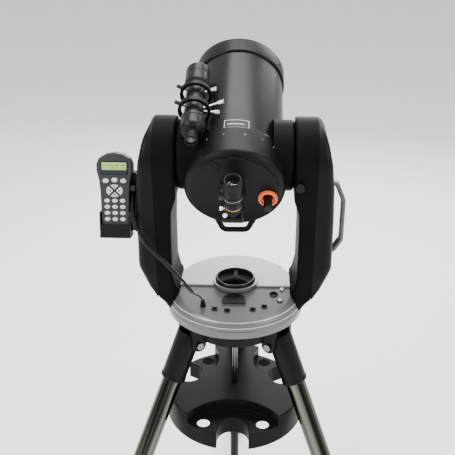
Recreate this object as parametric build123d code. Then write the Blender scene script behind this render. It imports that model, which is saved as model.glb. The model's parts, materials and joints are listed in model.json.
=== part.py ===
from build123d import *
from math import cos, sin, radians
import os

os.makedirs("parts", exist_ok=True)

# ---------------------------------------------------------------- driving dimensions (mm)
# Z is up, the floor is Z = 0, and Y is measured from the azimuth axis until save() shifts it.
AXIS_Y = -108.976          # azimuth axis in the row frame, so that the footprint is centred
GAP_Z = 792.0             # running gap between the fixed base plate and the turning base
BASE_R = 173.1            # base plate and skirt of the turning base
RIM_R = 164.2             # rim of the turning base
PLATE_H = 21.7            # base plate thickness
DOME_H = 44.0             # flat top of the turning base above the gap
PANEL_SLOPE = 8.3         # degrees, control panel falling towards the user
PANEL_Y = -20.0           # line where the flat top breaks into the panel
SPINDLE_R = 26.0
RUN = 0.06                # running clearance on shafts, radial

ALT_Z = GAP_Z + 386.0     # altitude axis
ALTITUDE = 23.4           # degrees, tube above the horizon at rest
DROP = 8.3                # tube axis below the altitude axis
WHEEL_R = 71.5            # 143 mm worm wheels
WORM_R = 8.0
WORM_AXIS = WHEEL_R + WORM_R + 0.4

ARM_IN = 138.5            # inner face of the fork arms at the altitude hub
ARM_SPLIT = 190.0         # casting inside, cover outside
ARM_WALL = 6.0
SHAFT_R = 22.0            # altitude shafts
HUB_R = 84.0

CELL_R = 117.1            # rear cell
TUBE_R = 113.0
FRONT_R = 117.7
REAR_Z = 115.0            # rear face, measured backwards from the altitude axis
CELL_Z = 26.0             # front edge of the rear cell
FRONT_Z = -322.5          # front edge of the front cell
CORRECTOR_R = 104.5
BARREL_R = 15.875         # 1.25 inch barrels
FINDER = (-95.9, 117.1)   # finder axis, right and up of the tube axis

LEG_SPLAY = 22.7          # degrees from vertical
LEG_TOP = (138.3, GAP_Z - 88.0)     # point on the leg axis beside its pivot, (radius, Z)
PIVOT = (125.0, GAP_Z - 88.0)       # leg pivot, (radius, Z)
LEG_R = 25.4              # 2 inch steel legs
EXT_R = 22.0
LEG_ANGLES = {"left": 210.0, "right": 330.0, "rear": 90.0}
TRAY_R = 185.5
TRAY_TOP = GAP_Z - 269.0
TRAY_SHELF = GAP_Z - 300.0
TRAY_BOTTOM = GAP_Z - 348.0
BOSS_BOTTOM = GAP_Z - 402.0
ROD_R = 7.0
ROD_END = GAP_Z - 640.0
SLEEVE_END = GAP_Z - 582.0

HANDSET_AT = (-287.0, -45.0, GAP_Z + 308.0)
HANDSET_LEAN = 12.0
KEY_GAP = 0.3
CORD_D = 10.4             # outside diameter of the curly part
WIRE_D = 3.4

LOW = (Align.CENTER, Align.CENTER, Align.MIN)
pivot = Pos(0, 0, ALT_Z) * Rot(90 + ALTITUDE, 0, 0)
ota = pivot * Pos(0, -DROP, 0)
panel = Pos(0, PANEL_Y, GAP_Z + DOME_H) * Rot(PANEL_SLOPE, 0, 0)
handset = Pos(*HANDSET_AT) * Rot(90 - HANDSET_LEAN, 0, 0)


def save(shape, name):
    """Write one node, shifted so that the footprint is centred on the row origin."""
    moved = Pos(0, AXIS_Y, 0) * shape
    moved.label = name
    export_step(moved, f"parts/{name}.step")


def cyl(radius, z0, z1):
    """Upright cylinder between two heights."""
    return Pos(0, 0, z0) * Cylinder(radius, z1 - z0, align=LOW)


def ring(outer, inner, z0, z1):
    """Upright tube between two heights."""
    return cyl(outer, z0, z1) - cyl(inner, z0 - 1, z1 + 1)


def turned(points):
    """Solid of revolution about Z from (radius, height) corners."""
    return revolve(Plane.XZ * make_face(Polyline(*points, close=True)), Axis.Z)


def along_x(radius, x0, x1, y=0.0, z=0.0):
    """Cylinder lying along X."""
    return Pos(x0, y, z) * Rot(0, 90, 0) * Cylinder(radius, x1 - x0, align=LOW)


def block(x0, x1, y0, y1, z0, z1):
    """Box from its two corners."""
    return Pos((x0 + x1) / 2, (y0 + y1) / 2, (z0 + z1) / 2) * Box(x1 - x0, y1 - y0, z1 - z0)


def plate(points, z0, z1):
    """Polygon extruded between two heights."""
    return Pos(0, 0, z0) * extrude(make_face(Polyline(*points, close=True)), z1 - z0)


def worm(length):
    """Worm along Z on its own shaft, with the thread drawn as close rings."""
    points = [(0, -length / 2 - 14), (4, -length / 2 - 14), (4, -length / 2)]
    pitch = 2.5
    for i in range(int(length / pitch)):
        z = -length / 2 + i * pitch
        points += [(WORM_R - 1.4, z + 0.2), (WORM_R, z + 0.9), (WORM_R, z + 1.6), (WORM_R - 1.4, z + 2.3)]
    points += [(4, length / 2), (4, length / 2 + 14), (0, length / 2 + 14)]
    return turned(points)


# ---------------------------------------------------------------- tripod head
HEAD_TOP = GAP_Z - PLATE_H
EAR_IN = 33.0
EAR_OUT = 45.0


def ear_pair():
    """Two ears for one leg, in the frame of a leg pointing along +X."""
    profile = make_face(
        Polyline((96, HEAD_TOP - 20), (143, HEAD_TOP - 20), (143, PIVOT[1]), (107, PIVOT[1]), close=True)
    )
    profile += Pos(*PIVOT) * Circle(18)
    both = None
    for y in (EAR_IN, -EAR_OUT):
        ear = Pos(0, y, 0) * extrude(Plane.XZ * profile, -(EAR_OUT - EAR_IN))
        both = ear if both is None else both + ear
    return both


def pivot_hole(radius, half):
    """Cylinder on the leg pivot axis, in the frame of a leg pointing along +X."""
    return Pos(PIVOT[0], half, PIVOT[1]) * Rot(90, 0, 0) * Cylinder(radius, 2 * half, align=LOW)


head = cyl(122, HEAD_TOP - 58, HEAD_TOP) - ring(114, 40, HEAD_TOP - 59, HEAD_TOP - 25)
head = fillet(head.edges().filter_by(GeomType.CIRCLE).group_by(Axis.Z)[0].sort_by(SortBy.RADIUS)[-1], 4)
for angle in LEG_ANGLES.values():
    head -= Rot(0, 0, angle) * block(85, 150, -EAR_IN, EAR_IN, HEAD_TOP - 60, HEAD_TOP - 24)
head += cyl(40, HEAD_TOP - 70, HEAD_TOP - 25)
for angle in LEG_ANGLES.values():
    head += Rot(0, 0, angle) * ear_pair()
for angle in LEG_ANGLES.values():
    head -= Rot(0, 0, angle) * pivot_hole(6, 60)
    head -= Rot(0, 0, angle + 60) * Pos(85, 0, 0) * cyl(5, HEAD_TOP - 30, HEAD_TOP + 1)
head -= cyl(ROD_R, HEAD_TOP - 71, HEAD_TOP - 25)
save(head, "tripod_head")

bolts = []
for angle in LEG_ANGLES.values():
    pin = pivot_hole(6, EAR_OUT)
    for side in (1, -1):
        head_at = Pos(PIVOT[0], side * (EAR_OUT + 3), PIVOT[1]) * Rot(90, 0, 0)
        pin += head_at * extrude(RegularPolygon(10, 6), 3, both=True)
    bolts.append(Rot(0, 0, angle) * pin)
    stud = Pos(85, 0, 0) * cyl(5, HEAD_TOP - 25, HEAD_TOP + 14)
    stud += Pos(85, 0, HEAD_TOP - 32) * extrude(RegularPolygon(9, 6), 7)
    bolts.append(Rot(0, 0, angle + 60) * stud)
save(Compound(bolts), "tripod_bolts")

save(cyl(ROD_R, ROD_END, HEAD_TOP - 25), "center_rod")

# ---------------------------------------------------------------- legs
leg_dir = (sin(radians(LEG_SPLAY)), 0, -cos(radians(LEG_SPLAY)))
leg = Plane(origin=(LEG_TOP[0], 0, LEG_TOP[1]), x_dir=(0, 1, 0), z_dir=leg_dir).location
SOCKET_END = 107.0
TUBE_TOP = 12.0
TUBE_END = 575.0
CLAMP_TOP = 560.0
CLAMP_END = 612.0
CLAMP_KNOB = 592.0
EXT_TOP = 180.0
EXT_END = 740.0

socket = fillet(cyl(32, -22, SOCKET_END).edges(), 5)
socket -= cyl(LEG_R, TUBE_TOP, SOCKET_END + 1)
socket = leg * socket - pivot_hole(6 + RUN, 60)
clamp = fillet(cyl(33, CLAMP_TOP, CLAMP_END).edges(), 4)
clamp += Pos(0, 30, CLAMP_KNOB) * Rot(-90, 0, 0) * Cylinder(12, 12, align=LOW)
clamp -= cyl(LEG_R, CLAMP_TOP - 1, TUBE_END)
clamp -= cyl(EXT_R + 0.08, TUBE_END - 1, CLAMP_END + 1)
clamp -= Pos(0, 10, CLAMP_KNOB) * Rot(-90, 0, 0) * Cylinder(4 + RUN, 40, align=LOW)
castings = Compound([socket, leg * clamp])
tube = leg * ring(LEG_R, LEG_R - 1.5, TUBE_TOP, TUBE_END)
extension = leg * ring(EXT_R, EXT_R - 1.5, EXT_TOP, EXT_END)
foot = leg * (cyl(25, EXT_END - 22, EXT_END + 70) - cyl(EXT_R, EXT_END - 23, EXT_END))
foot &= block(-1000, 1000, -1000, 1000, 0, 400)
knob = Rot(-90, 0, 0) * Cylinder(4, 22, align=LOW)
knob = Pos(0, EXT_R + 0.6, CLAMP_KNOB) * knob
grip = Circle(17)
for i in range(6):
    grip -= Rot(0, 0, i * 60) * Pos(19, 0) * Circle(5)
grip = fillet(extrude(grip, 15).edges().filter_by(GeomType.CIRCLE).group_by(Axis.Z)[-1], 1.5)
knob += Pos(0, 43, CLAMP_KNOB) * Rot(-90, 0, 0) * grip
knob = leg * knob
for side, angle in LEG_ANGLES.items():
    turn = Rot(0, 0, angle)
    save(turn * castings, f"leg_castings_{side}")
    save(turn * tube, f"leg_tube_{side}")
    save(turn * extension, f"leg_extension_{side}")
    save(turn * foot, f"leg_foot_{side}")
    save(turn * knob, f"clamp_knob_{side}")

# ---------------------------------------------------------------- leg brace tray
TRAY_WALL = 4.0
HOLE_R = 16.5             # holders for 1.25 inch eyepieces
HOLE_AT = 158.0


def notch(grow):
    """U-shaped notch between two legs, pointing along +X."""
    return Pos(156, 0) * Circle(41 + grow) + Pos(226, 0) * Rectangle(140, 2 * (41 + grow))


def bay(grow):
    """Round bay that leaves the three arms of the brace standing, along +X."""
    return Pos(219, 0) * Circle(140 + grow)


outline = Circle(TRAY_R)
under_shelf = Circle(TRAY_R - TRAY_WALL)
for angle in LEG_ANGLES.values():
    outline -= Rot(0, 0, angle + 60) * notch(0)
    under_shelf -= Rot(0, 0, angle + 60) * notch(TRAY_WALL)
under_top = under_shelf
bays = None
for angle in LEG_ANGLES.values():
    one = Rot(0, 0, angle + 60) * bay(0)
    bays = one if bays is None else bays + one
    under_top -= Rot(0, 0, angle + 60) * bay(TRAY_WALL)
tray = Pos(0, 0, TRAY_BOTTOM) * extrude(outline, TRAY_TOP - TRAY_BOTTOM)
tray -= Pos(0, 0, TRAY_SHELF) * extrude(bays, TRAY_TOP - TRAY_SHELF + 1)
tray -= Pos(0, 0, TRAY_BOTTOM - 1) * extrude(under_shelf, TRAY_SHELF - TRAY_BOTTOM - 4)
tray -= Pos(0, 0, TRAY_BOTTOM - 1) * extrude(under_top, TRAY_TOP - TRAY_BOTTOM - 4)
tray += cyl(17, BOSS_BOTTOM, TRAY_TOP)
for angle in LEG_ANGLES.values():
    for side in (-31, 31):
        tray -= Rot(0, 0, angle + side) * Pos(HOLE_AT, 0, 0) * cyl(HOLE_R, TRAY_BOTTOM, TRAY_TOP)
tray -= cyl(ROD_R + RUN, BOSS_BOTTOM - 1, TRAY_TOP + 1)
save(tray, "leg_tray")

wings = block(-32, 32, -4, 4, BOSS_BOTTOM - 36, BOSS_BOTTOM - 12)
wings = fillet(wings.edges().filter_by(Axis.Y), 8)
tension = cyl(15, BOSS_BOTTOM - 38, BOSS_BOTTOM - 2) + wings + cyl(11.5, SLEEVE_END, BOSS_BOTTOM - 37)
tension -= cyl(ROD_R + RUN, SLEEVE_END - 1, BOSS_BOTTOM)
save(tension, "tension_knob")

# ---------------------------------------------------------------- fixed base and azimuth drive
base_plate = fillet(cyl(BASE_R, GAP_Z - PLATE_H, GAP_Z - 0.5).edges(), 3)
base_plate += cyl(40, GAP_Z - 0.5, GAP_Z + 4) + cyl(SPINDLE_R, GAP_Z, GAP_Z + 40)
base_plate -= ring(164, 130, GAP_Z - PLATE_H - 1, GAP_Z - 7)
base_plate -= cyl(8.4, GAP_Z + 2, GAP_Z + 41)
for angle in LEG_ANGLES.values():
    base_plate -= Rot(0, 0, angle + 60) * Pos(85, 0, 0) * cyl(5, HEAD_TOP - 1, HEAD_TOP + 14)
save(base_plate, "base_plate")

save(ring(WHEEL_R, SPINDLE_R, GAP_Z + 4, GAP_Z + 16), "azimuth_wheel")
az_worm_at = Pos(0, WORM_AXIS, GAP_Z + 10) * Rot(0, 90, 0)
save(az_worm_at * worm(50), "azimuth_worm")

# ---------------------------------------------------------------- turning base
shell = turned([
    (0, 0.5), (BASE_R, 0.5), (BASE_R, 8), (RIM_R + 3, 21), (RIM_R - 4, 27.5), (152, 38), (146, DOME_H), (0, DOME_H),
])
envelope = Pos(0, 0, GAP_Z) * shell
room = turned([
    (0, 0), (BASE_R - 6, 0), (BASE_R - 6, 8), (RIM_R - 4, 19), (RIM_R - 11, 25), (145, 34), (141, DOME_H - 5),
    (0, DOME_H - 5),
])
room = Pos(0, 0, GAP_Z) * room - panel * block(-200, 200, -200, 0, -8, 100)
upper = envelope - panel * block(-200, 200, -200, 0, 0, 100)
upper -= panel * block(-200, 200, -200, -5, -3, 100) & cyl(150, GAP_Z, GAP_Z + 60)
upper -= room
upper += cyl(38, GAP_Z + 24, GAP_Z + DOME_H - 1)
for x in (-38, 30):
    upper += block(x, x + 8, WORM_AXIS - 9, WORM_AXIS + 9, GAP_Z + 2, GAP_Z + DOME_H - 3)
upper += ring(57, 51.6, GAP_Z + DOME_H - 2, GAP_Z + DOME_H + 6)
upper -= cyl(SPINDLE_R + RUN, GAP_Z + 20, GAP_Z + 60)
upper -= along_x(4 + RUN, -60, 60, WORM_AXIS, GAP_Z + 10)

# Sockets in the panel: (x, distance down the panel); the first one takes the handset plug.
SQUARE_PORTS = [(-75.8, -83.0), (-46.8, -95.2), (-16.0, -100.0), (46.4, -94.0), (74.4, -82.4)]
ROUND_PORT = (98.1, -33.0)
POWER_PORT = (112.7, -58.3)
SWITCH = (118.1, -14.0)
ports = []
for x, y in SQUARE_PORTS:
    upper -= panel * block(x - 7, x + 7, y - 6.5, y + 6.5, -12, 1)
    port = block(x - 7, x + 7, y - 6.5, y + 6.5, -10, -1)
    port -= block(x - 5, x + 5, y - 4.5, y + 4, -4.8, 0)
    ports.append(panel * port)
for (x, y), radius, depth in ((ROUND_PORT, 11, 3.8), (POWER_PORT, 7, 3.8), (SWITCH, 5, 1)):
    upper -= panel * Pos(x, y, 0) * cyl(radius, -12, 1)
    port = cyl(radius, -10, -1) - cyl(radius - 2, -1 - depth, 0)
    if radius < 10:
        port += cyl(1.5, -1 - depth, -1.5)
    ports.append(panel * Pos(x, y, 0) * port)
save(upper, "upper_base")
save(Compound(ports), "port_sockets")

dial = turned([(0, 46), (50.3, 46), (50.3, 56), (47, 59), (44, 59), (41, 49), (16, 48), (14, 54), (0, 55)])
for i in range(3):
    rib = Rot(0, 0, 90 + i * 120) * fillet(block(8, 45, -6, 6, 46, 57).edges().filter_by(Axis.X), 4)
    dial += rib
dial = Pos(0, 0, GAP_Z) * dial + cyl(8, GAP_Z + 6, GAP_Z + 47)
save(dial, "azimuth_knob")

# ---------------------------------------------------------------- fork arms
FRONT_VIEW = [
    (ARM_IN, 2), (168, 2), (210, 58), (237, 117), (235, 250), (231, 330), (224, 390), (214, 434), (204, 464), (191, 479),
    (ARM_IN, 479), (ARM_IN, 300), (151, 262), (153, 200), (153, 92), (146, 58), (ARM_IN, 46),
]
SIDE_VIEW = [
    (-92, 386), (92, 386), (80, 270), (76, 180), (78, 60), (72, 2), (-92, 2), (-78, 24), (-68, 46),
    (-76, 100), (-76, 180), (-80, 270),
]


def arm_solid(inset):
    """Right fork arm as the overlap of its front and side outlines, drawn in by the inset."""
    front = make_face(Polyline(*FRONT_VIEW, close=True))
    front = fillet(front.vertices(), 5)
    side = make_face(Polyline(*SIDE_VIEW, close=True)) + Pos(0, 386) * Circle(92)
    if inset:
        front = offset(front, -inset)
        side = offset(side, -inset)
    body = extrude(Plane.XZ * front, 120, both=True) & extrude(Plane.YZ * side, 400)
    return Pos(0, 0, GAP_Z) * body


arm = arm_solid(0)
arm_room = arm_solid(ARM_WALL)
SHAFT_HOLE = along_x(SHAFT_R + RUN, 100, ARM_SPLIT, 0, ALT_Z)
keep_inner = block(0, ARM_SPLIT, -200, 200, 0, 2000)
keep_outer = block(ARM_SPLIT, 400, -200, 200, 0, 2000)
bare = arm - arm_room - envelope
ALT_WORM_X = 156.0
ALT_WORM_Z = ALT_Z - WORM_AXIS
bearings = block(144, 168, 30, 38, ALT_WORM_Z - 9, ALT_WORM_Z + 8)
bearings += block(144, 168, -38, -30, ALT_WORM_Z - 9, ALT_WORM_Z + 8)
bearings -= Pos(ALT_WORM_X, 0, ALT_WORM_Z) * Rot(90, 0, 0) * Cylinder(4 + RUN, 200)
LOCK_AT = (149.5, GAP_Z + 342.0)
lock_axis = Pos(LOCK_AT[0], 0, LOCK_AT[1]) * Rot(90, 0, 0)
casting = (bare & keep_inner) - SHAFT_HOLE
right_casting = casting + bearings - lock_axis * cyl(4 + RUN, 60, 110)
cover = bare & keep_outer
save(right_casting, "fork_arm_right")
save(cover, "arm_cover_right")
left_casting = mirror(casting, Plane.YZ)
left_cover = mirror(cover, Plane.YZ)
save(left_casting, "fork_arm_left")
save(left_cover, "arm_cover_left")

lock = cyl(4, 74, 96) + fillet(cyl(10, 92, 106).edges(), 2)
save(lock_axis * lock, "altitude_knob")
save(Pos(ALT_WORM_X, 0, ALT_WORM_Z) * Rot(90, 0, 0) * worm(50), "altitude_worm")

grip_path = FilletPolyline(
    (228, 0, GAP_Z + 322), (243, 0, GAP_Z + 318), (261, 0, GAP_Z + 276), (261, 0, GAP_Z + 172),
    (244, 0, GAP_Z + 144), (229, 0, GAP_Z + 140), radius=(7, 16, 16, 7),
)
grip_start = Plane(origin=grip_path @ 0, x_dir=(0, 1, 0), z_dir=grip_path % 0)
strap = fillet((grip_start * Rectangle(26, 11)).vertices(), 4)
carry = sweep(strap, path=grip_path) - arm
save(carry, "carry_handle")

# ---------------------------------------------------------------- optical tube, in the tube frame
# x to the right, y up, z backwards along the tube from the altitude axis
cell = turned([(0, CELL_Z), (CELL_R, CELL_Z), (CELL_R, 103), (112, 111), (100, REAR_Z), (0, REAR_Z)])
cell -= cyl(TUBE_R, CELL_Z - 1, 58) + cyl(TUBE_R - 6, 50, 108)
CROWN = [
    (-74, 60), (-40, 78), (4, 87), (48, 76), (82, 54), (101, 24), (104, 4), (65, 8), (22, 26), (-7, 46), (-31, 69),
]
crown = plate(CROWN, REAR_Z - 1, REAR_Z + 3)
cell += fillet(crown.edges().filter_by(Axis.Z), 3)
cell += Pos(-46, 62, 0) * cyl(13, REAR_Z - 1, REAR_Z + 5)
cell += cyl(24, REAR_Z - 1, REAR_Z + 20)
loop = plate([(-50, -100), (-32, -157), (35, -156), (53, -100)], 92, 104)
loop -= plate([(-44, -90), (-24, -141), (22, -140), (47, -90)], 80, 110)
cell += fillet(loop.edges().filter_by(Axis.Z), 3) - cyl(CELL_R - 3, 80, 108)
cell -= cyl(17, 100, 117) + cyl(BARREL_R + RUN, 115, 145)
FOCUS_AT = (77.0, -17.0)
cell -= Pos(*FOCUS_AT, 0) * cyl(4 + RUN, 90, 135)
LOCK_ANGLES = (150, 200)
for angle in LOCK_ANGLES:
    cell -= Pos(0, 0, REAR_Z + 12) * Rot(0, 0, angle) * along_x(2, 16, 30)
save(ota * cell, "rear_cell")

save(ota * ring(TUBE_R, TUBE_R - 2, -275, 58), "optical_tube")

front = turned([
    (TUBE_R, -268), (FRONT_R - 2, -268), (FRONT_R, -271), (FRONT_R, -319), (FRONT_R - 3, FRONT_Z), (106, FRONT_Z),
    (101.5, -317), (101.5, -311), (CORRECTOR_R, -311), (CORRECTOR_R, -306), (101.5, -306), (101.5, -275), (TUBE_R, -275),
])
save(ota * front, "front_cell")
save(ota * ring(CORRECTOR_R, 33, -311, -306), "corrector_plate")
secondary = cyl(38, -327, -311) + cyl(33, -312, -305) + cyl(36, -306, -288)
secondary -= cyl(30, -295, -287)
save(ota * fillet(secondary.edges().group_by(Axis.Z)[0], 3), "secondary_mirror")
dish = turned([(19 + RUN, 62), (40, 65), (70, 60), (103, 54), (103, 76), (40, 80), (28, 80), (28, 92), (19 + RUN, 92)])
save(ota * dish, "primary_mirror")
save(ota * ring(19, 17, -130, 103), "baffle_tube")

hubs = []
for side in (1, -1):
    hub = along_x(HUB_R, 88, ARM_IN - 1.5)
    hub = fillet(hub.edges().group_by(Axis.X)[-1], 9)
    hub -= Pos(0, -DROP, 0) * (cyl(TUBE_R, -120, 120) + cyl(CELL_R, CELL_Z, 120))
    hub -= along_x(HUB_R - 12, 80, 127)
    hub += along_x(SHAFT_R, 118, ARM_SPLIT)
    if side == -1:
        hub = mirror(hub, Plane.YZ) - Pos(FINDER[0], FINDER[1] - DROP, 0) * cyl(39.5, -140, 120)
    hubs.append(pivot * hub)
save(Compound(hubs), "side_hubs")
alt_wheel = along_x(WHEEL_R, 150, 162) - along_x(SHAFT_R, 140, 170)
save(pivot * alt_wheel, "altitude_wheel")

collar = Pos(*FOCUS_AT, 0) * (cyl(22, REAR_Z, REAR_Z + 9) - cyl(17, REAR_Z + 3, REAR_Z + 10))
collar = fillet(collar.edges().group_by(Axis.Z)[-1], 1.5) - Pos(*FOCUS_AT, 0) * cyl(4 + RUN, 100, 135)
save(ota * collar, "focus_collar")
focus = cyl(4, 100, 128) + cyl(10, REAR_Z + 4, REAR_Z + 38.6)
focus = Pos(*FOCUS_AT, 0) * fillet(focus.edges().group_by(Axis.Z)[-1], 2)
save(ota * focus, "focus_knob")

elbow = Plane.YZ * make_face(Polyline((-23, 168), (-23, 190), (-1, 212), (13, 212), (13, 168), close=True))
elbow = extrude(elbow, 23, both=True)
elbow += cyl(BARREL_R, 122, 145) + cyl(20, REAR_Z + 21, 170)
up_axis = Pos(0, 0, 190) * Rot(-90, 0, 0)
elbow += up_axis * cyl(19.5, 10, 36)
elbow -= cyl(9, 110, 190) + up_axis * (cyl(12, -4, 5) + cyl(BARREL_R + RUN, 4, 60))
for around in (-90, -40):
    elbow += Pos(0, 22, 190) * Rot(0, around, 0) * (cyl(2.5, 17.5, 24) + cyl(5, 23.5, 30))
save(ota * elbow, "star_diagonal")
ocular = turned([
    (13, 6), (BARREL_R, 6), (BARREL_R, 36.4), (20, 36.4), (21, 42), (21, 62), (20, 68), (20, 102), (19.3, 112),
    (15, 112), (13.5, 104), (13, 104),
])
save(ota * up_axis * ocular, "eyepiece")

# Finder scope and its bracket, about the finder axis
scope = turned([
    (0, -164), (27, -164), (27, -174.7), (29, -174.7), (29.7, -173), (29.7, -117), (23, -105), (23, -2),
    (28.5, 3), (28.5, 42), (25, 49), (14, 50), (14, 70), (15.5, 71), (15.5, 78), (11, 78), (11, 73), (0, 73),
])
scope -= turned([(0, -158), (24, -158), (24, -116), (20, -104), (20, 0), (25, 6), (25, 42), (0, 42)])
save(ota * Pos(*FINDER, 0) * scope, "finder_scope")
toward = Rot(0, 0, -51.2)
bracket = Pos(*FINDER, 0) * (ring(38, 30.5, -94, -82) + ring(38, 30.5, -35, -23))
spine = Pos(*FINDER, 0) * toward * block(32, 60, -17, 17, -100, 20)
spine -= Pos(*FINDER, 0) * cyl(31, -140, 60)
bracket = bracket + spine - cyl(TUBE_R, -140, 60)
screws = []
for z, angle, tip in ((-88, 20, 52), (-29, 22, 74), (-29, -5, 58), (-88, 150, 50), (-29, 150, 50)):
    hole = Pos(*FINDER, z) * Rot(0, 0, angle)
    bracket -= hole * along_x(2, 23, 62)
    screw = along_x(2, 23.5, tip - 8) + along_x(4.5, tip - 12, tip)
    screws.append(ota * hole * screw)
save(ota * bracket, "finder_bracket")
for angle in LOCK_ANGLES:
    screw = along_x(2, 16.5, 26) + along_x(5, 25, 37)
    hole = Pos(0, 0, REAR_Z + 12) * Rot(0, 0, angle)
    screws.append(ota * hole * screw)
save(Compound(screws), "thumb_screws")

# ---------------------------------------------------------------- hand control, in its own frame
# x across, y towards the top, z out of the face
OUTLINE = [
    (-33, -86), (-34.5, -10), (-37, 22), (-43, 46), (-43, 62), (-37, 76), (-21, 86), (0, 89.5), (21, 86),
    (37, 76), (43, 62), (43, 46), (37, 22), (34.5, -10), (33, -86),
]
case_face = fillet(make_face(Polyline(*OUTLINE, close=True)).vertices(), 6)
case = Pos(0, 0, -28) * extrude(case_face, 28)
case = fillet(case.edges().group_by(Axis.Z)[0] + case.edges().group_by(Axis.Z)[-1], 2)
case -= Pos(0, 0, -25.5) * extrude(offset(case_face, -2.5), 23)

TOP_KEYS = [(-21, 23), (0, 25), (21, 23)]
NUMBER_KEYS = [(x, y) for y in (-25, -40, -55, -70) for x in (-18.5, 0, 18.5)]
keypad = Pos(0, -22, -4.5) * Box(60, 110, 2, align=LOW)
for x, y in TOP_KEYS + NUMBER_KEYS:
    long, short = (7.2, 5.4) if (x, y) in TOP_KEYS else (6.4, 4.6)
    case -= Pos(x, y, -3) * extrude(Ellipse(long + KEY_GAP, short + KEY_GAP), 4)
    keypad += Pos(x, y, -3) * extrude(Ellipse(long, short), 4.8)


def fan(angle, grow):
    """One of the four direction keys, as a sector of an oval ring."""
    tip = 2.1 - 1.414 * grow
    wedge = Rot(0, 0, angle) * make_face(Polyline((tip, 0), (tip + 30, 30), (tip + 30, -30), close=True))
    return (Ellipse(20 + grow, 15 + grow) - Circle(2.6 - grow)) & wedge


DIRECTIONS = {"key_right": 0, "key_up": 90, "key_left": 180, "key_down": 270}
for name, angle in DIRECTIONS.items():
    save(handset * Pos(0, -1, -2.2) * extrude(fan(angle, 0), 4.7), name)
    case -= Pos(0, -1, -5) * extrude(fan(angle, KEY_GAP), 8)
    keypad -= Pos(0, -1, -6) * extrude(fan(angle, KEY_GAP), 5)
case -= block(-32, 32, 37.5, 69.5, -1.5, 1)
RELIEF = (40.0, -2.0, -15.0)
case += block(33, 47, RELIEF[1], RELIEF[1] + 12, -22, -8)
save(handset * case, "handset_body")
save(handset * keypad, "keypad")
save(handset * block(-32, 32, 37.5, 69.5, -1.5, 0.6), "handset_screen")

behind = handset * block(-45, 48, -100, 90, -28, 0)
cradle = block(-37.2, 37.2, -116, -52, -34, 6) - block(-34.4, 34.4, -86, 0, -28, 0.4)
cradle -= block(-34.4, 34.4, -84, 0, -10, 10)
cradle += block(-26, 26, -70, 40, -34, -28)
cradle = handset * cradle
cradle += block(-262, -228, -18, 6, GAP_Z + 228, GAP_Z + 340) - behind
cradle -= mirror(arm, Plane.YZ)
save(cradle, "handset_cradle")

# ---------------------------------------------------------------- handset cord
PLUG_TOP = 12.0
port_x, port_y = SQUARE_PORTS[0]
plug = block(port_x - 4.8, port_x + 4.8, port_y - 4.2, port_y + 3.8, -4.8, -1)
plug += fillet(block(port_x - 5.5, port_x + 5.5, port_y - 5, port_y + 5, -1, PLUG_TOP).edges().filter_by(Axis.Z), 1.5)
save(panel * plug, "cord_plug")

start = handset * Pos(*RELIEF)
finish = panel * Pos(port_x, port_y, PLUG_TOP)
CURL_ROUTE = [
    tuple(start.position),
    (-246.6, -35, GAP_Z + 285.5), (-245.5, -50, GAP_Z + 269), (-243, -76, GAP_Z + 253), (-234, -93, GAP_Z + 237),
    (-223, -99, GAP_Z + 218), (-206, -106, GAP_Z + 192), (-182, -112, GAP_Z + 170), (-159.5, -116, GAP_Z + 149),
    (-129, -122, GAP_Z + 116), (-112, -124, GAP_Z + 95), (-96, -125, GAP_Z + 75),
]
TAIL_ROUTE = [CURL_ROUTE[-1], (-87, -121.5, GAP_Z + 70), (-79.5, -113, GAP_Z + 59.5), tuple(finish.position)]


def round_tube(route, diameter):
    """Tube along straight runs joined by arcs as large as the runs allow."""
    radii = []
    length = 0
    for a, b, c in zip(route, route[1:], route[2:]):
        first = Vector(*b) - Vector(*a)
        second = Vector(*c) - Vector(*b)
        half_turn = radians(first.get_angle(second) / 2)
        radii.append(0.45 * min(first.length, second.length) * cos(half_turn) / sin(half_turn))
    path = FilletPolyline(*route, radius=radii)
    length = path.length
    section = Plane(origin=path @ 0, z_dir=path % 0) * Circle(diameter / 2)
    solid = sweep(section, path=path)
    expected = section.area * length
    print("radii", [round(r, 1) for r in radii], "length", round(length, 1), "volume", round(solid.volume / expected, 4))
    return solid


save(round_tube(CURL_ROUTE, CORD_D), "handset_cord")
save(round_tube(TAIL_ROUTE, WIRE_D), "cord_tail")
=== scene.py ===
import json
import math
import random

import bmesh
import bpy
from mathutils import Matrix, Vector


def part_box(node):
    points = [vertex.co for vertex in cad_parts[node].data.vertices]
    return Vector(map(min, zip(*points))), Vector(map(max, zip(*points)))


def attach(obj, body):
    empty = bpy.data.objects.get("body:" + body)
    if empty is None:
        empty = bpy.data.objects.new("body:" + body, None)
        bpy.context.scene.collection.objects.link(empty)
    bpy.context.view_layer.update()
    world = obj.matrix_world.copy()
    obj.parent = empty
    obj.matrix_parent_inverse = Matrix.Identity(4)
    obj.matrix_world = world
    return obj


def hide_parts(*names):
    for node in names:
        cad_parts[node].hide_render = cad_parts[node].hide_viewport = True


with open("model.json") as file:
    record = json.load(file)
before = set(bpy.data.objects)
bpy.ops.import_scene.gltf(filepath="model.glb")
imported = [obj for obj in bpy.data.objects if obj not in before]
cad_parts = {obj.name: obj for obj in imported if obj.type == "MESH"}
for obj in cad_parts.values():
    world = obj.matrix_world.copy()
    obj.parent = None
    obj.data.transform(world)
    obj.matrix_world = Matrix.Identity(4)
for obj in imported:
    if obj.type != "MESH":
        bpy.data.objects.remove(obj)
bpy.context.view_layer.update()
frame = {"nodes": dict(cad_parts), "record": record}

# ------------------------------------------------------------------ sizes and frames
# Lengths are in millimetres and angles in degrees until spot(), turn() and build() convert them.
MM = 0.001
NODES = frame["nodes"]
BODY_OF = {n: b for b, ns in frame["record"]["behaviour"]["bodies"].items() for n in ns}
SLOT_OF = {s["node"]: s["material_slot"] for s in frame["record"]["subparts"]}

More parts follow.
